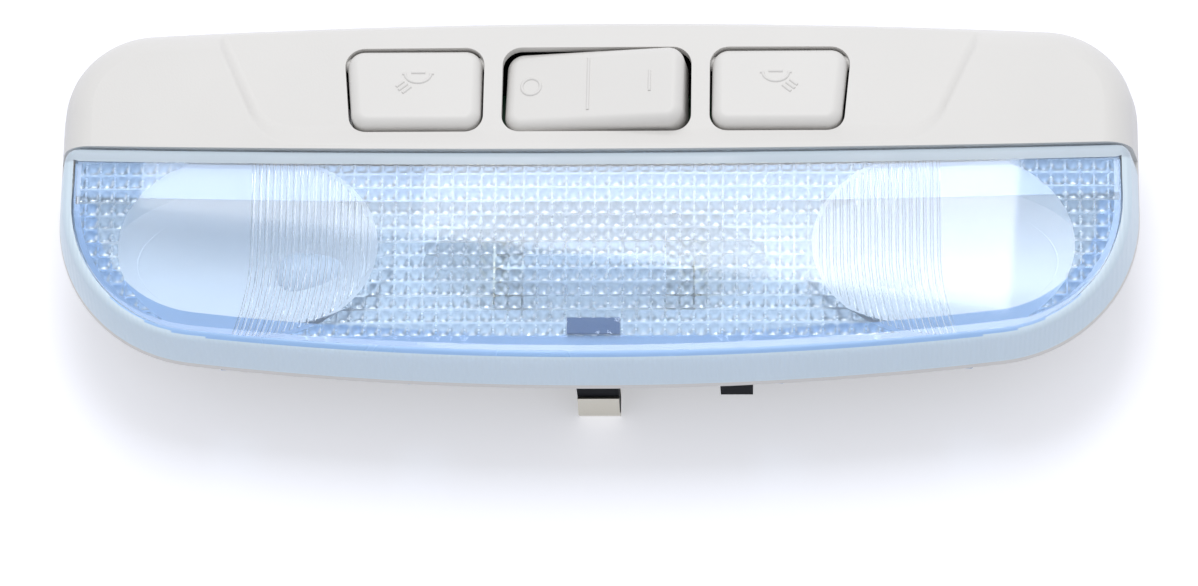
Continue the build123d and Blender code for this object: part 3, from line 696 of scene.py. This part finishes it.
def rim_skirt():
    """Thin skirt behind the lens's front and end walls, leaning with them."""
    low = lens_base + skirt_foot
    points = []
    for extra in (0.0, skirt_thickness):
        inset = lens_wall + skirt_play + extra + low * math.tan(draft)
        foot = wall_path(inset)
        inward = wall_path(inset + 1.0) - foot
        top = ceiling(foot[:, 1]) - pillow_depth
        lean = ((top - low) * math.tan(draft))[:, None]
        points.append(np.column_stack([foot, np.full(len(foot), low)]))
        points.append(np.column_stack([foot + inward * lean, top]))
    count = len(points[0])
    a, b, d, c = (k * count for k in range(4))
    faces = []
    for k in range(count - 1):
        for p, q in ((a, b), (b, c), (c, d), (d, a)):
            faces.append((p + k, p + k + 1, q + k + 1, q + k))
    for k in (0, count - 1):
        faces.append((a + k, b + k, c + k, d + k))
    return solid_object("rim_ribs", [tuple(p) for row in points for p in row], faces)


def make_rim(rib_row, material):
    """Skirt inside the lens walls with fine upright ribs along the front; its deeper blue is painted shade.
    """
    count = int(2 * (corner_x - rim_rib_end_gap) / rim_rib_pitch)
    ribs = grown("front_ribs", rib_row, Pitch=rim_rib_pitch * MM, Count=count, Radius=rim_rib_radius * MM,
                 Length=rim_rib_height * MM, Turn=0.0, Material=material)
    centre = lens_base + rim_rib_height / 2 + rim_rib_foot
    near = lens_wall + skirt_play + skirt_thickness

    def place(x, y, z):
        up = z + centre
        along = x - count * rim_rib_pitch / 2
        wall = front_y + near + up * math.tan(draft) + sagitta(front_radius, along)
        return along, y + wall, up

    rim = combine(rim_skirt(), moved_points(ribs, place), "UNION")
    wear(rim, [material])
    smooth(rim, inner_crease)
    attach(rim, "lamp")


def make_strip(name, near, far, material):
    """Flat strip close under the lens between two lines in plan."""
    strip = prism(name, list(near) + list(far)[::-1], -strip_thickness, 0.0)
    moved_points(strip, lambda x, y, z: (x, y, z + ceiling(y) - pillow_depth - skirt_play))
    wear(strip, [material])
    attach(strip, "lamp")


def make_strips(seam_finish, front_painted_shade):
    """Strips that close the view past the reflector: along the seam, and along the front edge in a deeper
    blue that is painted shade.
    """
    x = np.linspace(-seam_strip_reach, seam_strip_reach, seam_strip_points)
    rear = seam_line(x) - lens_wall
    make_strip("seam_strip", zip(x, rear - seam_strip_depth), zip(x, rear - skirt_play), seam_finish)
    near, far = (zip(*front_points(inset)) for inset in (front_strip_near, front_strip_far))
    make_strip("front_strip", near, far, front_painted_shade)


def make_bowl(word, material):
    """Smooth reflector bowl behind a map window, on the mouth of the solid one."""
    node = "map_reflector_" + word
    low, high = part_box(node)
    middle, half = (low + high) / 2 / MM, (high - low) / 2 / MM
    mouth = high.z / MM
    turn = np.linspace(0, 2 * math.pi, bowl_turns, endpoint=False)
    points, faces = [], []
    size = bowl_rings * bowl_turns + 1
    for sink in (0.0, bowl_thickness):
        points.append((middle.x, middle.y, mouth - bowl_depth - sink))
        for r in np.linspace(0, 1, bowl_rings + 1)[1:]:
            z = mouth - bowl_depth * (1 - r**2) - sink
            oval = arc_points(middle.x, middle.y, half.x * r, half.y * r, turn)
            points += [(x, y, z) for x, y in oval]
    for k in range(bowl_turns):
        n = (k + 1) % bowl_turns
        for base in (0, size):
            faces.append((base, base + 1 + k, base + 1 + n))
            for ring in range(bowl_rings - 1):
                a = base + 1 + ring * bowl_turns
                faces.append((a + k, a + bowl_turns + k, a + bowl_turns + n, a + n))
        a = 1 + (bowl_rings - 1) * bowl_turns
        faces.append((a + k, size + a + k, size + a + n, a + n))
    bowl = wear(solid_object("map_bowl_" + word, points, faces), [material])
    smooth(bowl, inner_crease)
    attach(bowl, "lamp")
    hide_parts(node)


def arc_points(x, y, wide, tall, turn):
    """Points of an oval at the given angles in radians."""
    return list(zip(x + wide * np.cos(turn), y + tall * np.sin(turn)))


def map_lamp_sign(side):
    """Reading lamp sign: a dish with a bar over it and three rays towards the lamp's end."""
    strokes = [arc_points(0, 0, 2.45, 1.95, np.linspace(-math.pi, 0, 24))]
    strokes += [[(-1.4, 0.3), (1.3, 0.3)], [(-3.0, 0.05), (-2.5, 0.0)], [(2.5, 0.0), (3.0, 0.05)]]
    strokes += [[(2.7, -1.65), (4.1, -2.85)], [(2.0, -2.25), (3.6, -3.6)], [(1.3, -2.85), (2.85, -4.25)]]
    return [[(side * (map_sign_x + u), map_sign_y + v) for u, v in stroke] for stroke in strokes]


def rocker_signs():
    """Signs on the rocker: a ring at the left, a stroke at the right and a divider near the middle."""
    ring = arc_points(-12.6, 21.3, 1.8, 1.8, np.linspace(0, 2 * math.pi, 48))
    return [ring, [(10.2, 19.0), (10.2, 23.5)], [(-1.6, 15.5), (-1.6, 27.0)]]


def make_marks(name, body, strokes, tree, material):
    """Low raised lines on a key, laid on its surface."""
    key = nodes[body].data
    cover = BVHTree.FromPolygons([v.co for v in key.vertices], [list(f.vertices) for f in key.polygons])
    points, edges = [], []
    for stroke in strokes:
        line = np.array(stroke)
        steps = np.concatenate([[0], np.cumsum(np.hypot(*np.diff(line, axis=0).T))])
        along = np.linspace(0, steps[-1], max(int(steps[-1] / mark_step), 2) + 1)
        for k, s in enumerate(along):
            x, y = (float(np.interp(s, steps, line[:, i])) * MM for i in range(2))
            hit = cover.ray_cast(Vector((x, y, 2 * cad_high.z)), Vector((0, 0, -1)))[0]
            if k:
                edges.append((len(points) - 1, len(points)))
            points.append((x, y, hit.z - mark_sink * mark_radius * MM))
    mesh = bpy.data.meshes.new(name)
    mesh.from_pydata(points, edges, [])
    marks = grown(name, tree, mesh, Radius=mark_radius * MM, Material=material)
    marks.data.shade_smooth()
    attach(marks, body)


def grain_group():
    """Moulding grain shared by the opaque finishes: cloudy shade, uneven gloss and a fine height."""
    inputs = {"Colour": "Color", "Shade": "Float", "Scale": "Float", "Roughness": "Float", "Uneven": "Float"}
    outputs = {"Colour": "Color", "Roughness": "Float", "Height": "Float"}
    g = Group("moulding grain", "ShaderNodeTree", inputs, outputs)
    where = g.add("ShaderNodeTexCoord").outputs["Object"]
    fine = g.add("ShaderNodeTexNoise", {"Vector": where, "Scale": g.inputs["Scale"]}).outputs["Fac"]
    cloud = g.add("ShaderNodeTexNoise", {"Vector": where, "Scale": cloud_scale, "Detail": 4.0}).outputs["Fac"]
    dim = g.math("MULTIPLY", cloud, g.inputs["Shade"])
    black = (0.0, 0.0, 0.0, 1.0)
    shaded = g.add("ShaderNodeMix", {"Factor": dim, "A": g.inputs["Colour"], "B": black},
                   data_type="RGBA", blend_type="MULTIPLY").outputs["Result"]
    gloss = g.math("MULTIPLY_ADD", fine, g.inputs["Uneven"], g.inputs["Roughness"])
    g.put(g.results, {"Colour": shaded, "Roughness": gloss, "Height": fine})
    return g.tree


grain = grain_group()


def new_material(name):
    """A material with its tree and its main shader."""
    material = bpy.data.materials.new(name)
    material.use_nodes = True
    return material, Tree(material.node_tree), material.node_tree.nodes["Principled BSDF"]


def surface(material, t, shader):
    """Makes a shader the one that the material shows."""
    t.put(material.node_tree.nodes["Material Output"], {"Surface": shader.outputs[0]})
    return material


def opaque(name, colour, roughness, metallic=0.0, shade=0.06, uneven=0.08, bump=0.02, shine=0.5):
    """An opaque finish with the shared grain."""
    material, t, shader = new_material(name)
    look = {"Colour": (*colour, 1.0), "Shade": shade, "Scale": grain_scale,
            "Roughness": roughness, "Uneven": uneven}
    effect = t.add("ShaderNodeGroup", look, node_tree=grain).outputs
    height = {"Strength": bump, "Distance": grain_height * MM, "Height": effect["Height"]}
    relief = t.add("ShaderNodeBump", height)
    t.put(shader, {"Metallic": metallic, "Specular IOR Level": shine, "Base Color": effect["Colour"],
                   "Roughness": effect["Roughness"], "Normal": relief.outputs["Normal"]})
    return material


def clear(name, colour, roughness, clarity, shadow=(0.88, 0.94, 0.99), index=1.49, flute_pitch=0.0):
    """A clear or hazy finish that lets lamp light through, with upright flutes if a pitch is given."""
    material, t, shader = new_material(name)
    where = t.add("ShaderNodeTexCoord").outputs["Object"]
    flow = t.add("ShaderNodeTexNoise", {"Vector": where, "Scale": flow_scale}).outputs["Fac"]
    span = {"Value": flow, "To Min": roughness * 0.5, "To Max": roughness * 1.5}
    gloss = t.add("ShaderNodeMapRange", span).outputs["Result"]
    t.put(shader, {"Base Color": (*colour, 1.0), "Transmission Weight": clarity, "IOR": index,
                   "Roughness": gloss})
    if flute_pitch:
        wave = t.add("ShaderNodeTexWave", {"Vector": where, "Scale": math.pi / (10 * flute_pitch * MM)})
        depth = {"Strength": 0.5, "Distance": flute_height * MM, "Height": wave.outputs["Fac"]}
        t.put(shader, {"Normal": t.add("ShaderNodeBump", depth).outputs["Normal"]})
    through = t.add("ShaderNodeBsdfTransparent", {"Color": (*shadow, 1.0)})
    lamp_light = t.add("ShaderNodeLightPath").outputs["Is Shadow Ray"]
    mix = t.add("ShaderNodeMixShader", {"Fac": lamp_light, 1: shader.outputs[0], 2: through.outputs[0]})
    return surface(material, t, mix)


def make_finishes():
    """Every finish of the lamp by its name."""
    key_grey = (0.765, 0.75, 0.73)
    opaques = {
        "bezel_grey": dict(colour=key_grey, roughness=0.42, bump=0.1),
        "button_grey": dict(colour=key_grey, roughness=0.4, bump=0.05),
        "stop_blue": dict(colour=(0.0, 0.07, 0.22), roughness=0.35),
        "housing_black": dict(colour=(0.008, 0.009, 0.012), roughness=0.55, bump=0.08, shine=0.06),
        "reflector_white": dict(colour=(0.81, 0.82, 0.83), roughness=0.35, shade=0.03),
        "reflector_silver": dict(colour=(0.8, 0.81, 0.82), roughness=0.6, metallic=0.1, shade=0.03),
        "bulb_cap": dict(colour=(0.7, 0.69, 0.66), roughness=0.5, metallic=1.0),
        "contact_brass": dict(colour=(0.78, 0.71, 0.56), roughness=0.55, metallic=1.0),
        "board_green": dict(colour=(0.04, 0.22, 0.1), roughness=0.3),
        "switch_black": dict(colour=(0.03, 0.03, 0.03), roughness=0.45),
        "switch_metal": dict(colour=(0.6, 0.6, 0.6), roughness=0.35, metallic=1.0),
        "plunger_white": dict(colour=(0.82, 0.82, 0.8), roughness=0.4),
        "pin_tin": dict(colour=(0.75, 0.75, 0.74), roughness=0.25, metallic=1.0),
        "spring_steel": dict(colour=(0.66, 0.63, 0.55), roughness=0.3, metallic=1.0, shade=0.2,
                             uneven=0.15),
        "screw_steel": dict(colour=(0.62, 0.62, 0.63), roughness=0.3, metallic=1.0),
    }
    clears = {
        "lens_blue": dict(colour=(0.75, 0.83, 0.93), roughness=0.03, clarity=0.96,
                          shadow=(0.89, 0.94, 0.98)),
        "lens_rim": dict(colour=(0.76, 0.895, 1.0), roughness=0.4, clarity=0.1,
                         flute_pitch=rim_rib_pitch),
        # Pale lip along the seam: painted reflection.
        "lens_painted_reflection_lip": dict(colour=(0.77, 0.89, 1.0), roughness=0.4, clarity=0.35),
        "lens_pillow": dict(colour=(0.68, 0.83, 0.98), roughness=0.04, clarity=0.72,
                            shadow=(0.9, 0.95, 0.99)),
        # Deeper blue along the lens's front edge: painted shade.
        "lens_edge": dict(colour=(0.38, 0.6, 0.95), roughness=0.3, clarity=0.2),
        "seam_strip": dict(colour=(0.56, 0.65, 0.78), roughness=0.5, clarity=0.1),
        # Deeper blue of the skirt and the front strip: painted shade under the lens's front.
        "painted_shade_blue": dict(colour=(0.33, 0.48, 0.69), roughness=0.4, clarity=0.1,
                          shadow=(0.86, 0.94, 1.0)),
        "bulb_glass": dict(colour=(0.86, 0.9, 0.95), roughness=0.6, clarity=0.3,
                           shadow=(0.95, 0.95, 0.95), index=1.5),
    }
    made = {name: opaque(name, **look) for name, look in opaques.items()}
    made.update({name: clear(name, **look) for name, look in clears.items()})
    return made


def seen_directly(t):
    """One for rays from the camera, a reflection or a clear piece, and nought for light."""
    path = t.add("ShaderNodeLightPath").outputs
    mirrored = t.math("MAXIMUM", path["Is Camera Ray"], path["Is Glossy Ray"])
    return t.math("MAXIMUM", mirrored, path["Is Transmission Ray"])


def floor_material():
    """White floor that stays white to the camera and keeps the shadow."""
    material, t, shader = new_material("floor_white")
    t.put(shader, {"Base Color": (0.8, 0.81, 0.89, 1.0), "Roughness": 0.9, "Specular IOR Level": 0.1})
    glow = t.add("ShaderNodeEmission", {"Strength": 0.4})
    both = t.add("ShaderNodeAddShader", {0: shader.outputs[0], 1: glow.outputs[0]})
    mix = t.add("ShaderNodeMixShader", {"Fac": seen_directly(t), 1: shader.outputs[0], 2: both.outputs[0]})
    return surface(material, t, mix)


def make_floor():
    """Floor under the lamp's clips, several metres wide."""
    size = 4.0
    corners = [(-size, -size), (size, -size), (size, size), (-size, size)]
    mesh = bpy.data.meshes.new("floor")
    mesh.from_pydata([(x, y, cad_low.z) for x, y in corners], [], [(0, 1, 2, 3)])
    mesh.materials.append(floor_material())
    floor = link(bpy.data.objects.new("floor", mesh))


def softbox(place, turn, width, height, radiance):
    """Rectangular lamp overhead, facing down; its place and size are in metres."""
    data = bpy.data.lights.new("softbox", "AREA")
    data.shape = "RECTANGLE"
    data.size, data.size_y = width, height
    data.energy = radiance * math.pi * width * height
    lamp = link(bpy.data.objects.new("softbox", data))
    lamp.location = place
    lamp.rotation_euler.z = math.radians(turn)


def make_light():
    """Even white surroundings, a softbox over the switch side, a dimmer one to its left, a low one behind."""
    world = bpy.data.worlds.new("studio")
    bpy.context.scene.world = world
    world.use_nodes = True
    t = Tree(world.node_tree)
    level = t.add("ShaderNodeMapRange", {"Value": seen_directly(t), "To Min": 0.66, "To Max": 1.0})
    ambient = {"Color": (0.955, 0.97, 1.0, 1.0), "Strength": level.outputs["Result"]}
    t.put(world.node_tree.nodes["Background"], ambient)
    softbox(place=(0.036, 0.489, 1.0), turn=-6.0, width=0.29, height=0.5, radiance=7.5)
    softbox(place=(-0.178, 0.511, 1.0), turn=-6.0, width=0.14, height=0.5, radiance=4.5)
    softbox(place=(0.0, 1.4, 0.9), turn=0.0, width=1.2, height=0.5, radiance=3.0)


def make_camera():
    """Camera at the photograph's angle: high over the lens side, a little to the right."""
    distance = 1000.0
    pixels_per_mm = 5.247
    frame_width = 1198
    target = Vector((0.55, -17.56, 0.0))
    elevation = math.radians(68.7)
    aside = 0.046
    roll = math.radians(-0.185)
    back = Vector((aside, -math.cos(elevation), math.sin(elevation))).normalized()
    right = (Vector((1, 0, 0)) - back * back.x).normalized()
    up = back.cross(right)
    turn = Matrix((right, up, back)).transposed().to_4x4() @ Matrix.Rotation(roll, 4, "Z")
    data = bpy.data.cameras.new("camera")
    data.lens = pixels_per_mm * distance / frame_width * data.sensor_width
    data.clip_start, data.clip_end = 0.01, 20.0
    camera = link(bpy.data.objects.new("camera", data))
    camera.matrix_world = Matrix.Translation((target + back * distance) * MM) @ turn
    bpy.context.scene.camera = camera


finishes = make_finishes()
for name, node in nodes.items():
    node.data.materials.clear()
    node.data.materials.append(finishes[node_slots[name]])

rib_row = rib_tree()
make_lens(rib_row, [finishes[name] for name in lens_finishes])
# The skirt and the front strip wear a deeper blue that is painted shade.
make_rim(rib_row, finishes["painted_shade_blue"])
make_strips(finishes["seam_strip"], finishes["painted_shade_blue"])
make_stop(finishes["stop_blue"])
bead = bead_tree()
for side, word in ((-1, "left"), (1, "right")):
    make_bowl(word, finishes["reflector_silver"])
    make_marks("map_sign_" + word, "map_button_" + word, map_lamp_sign(side), bead, finishes["button_grey"])
make_marks("rocker_signs", "dome_rocker", rocker_signs(), bead, finishes["button_grey"])

make_floor()
make_light()
make_camera()
bpy.context.scene.view_settings.view_transform = "Standard"
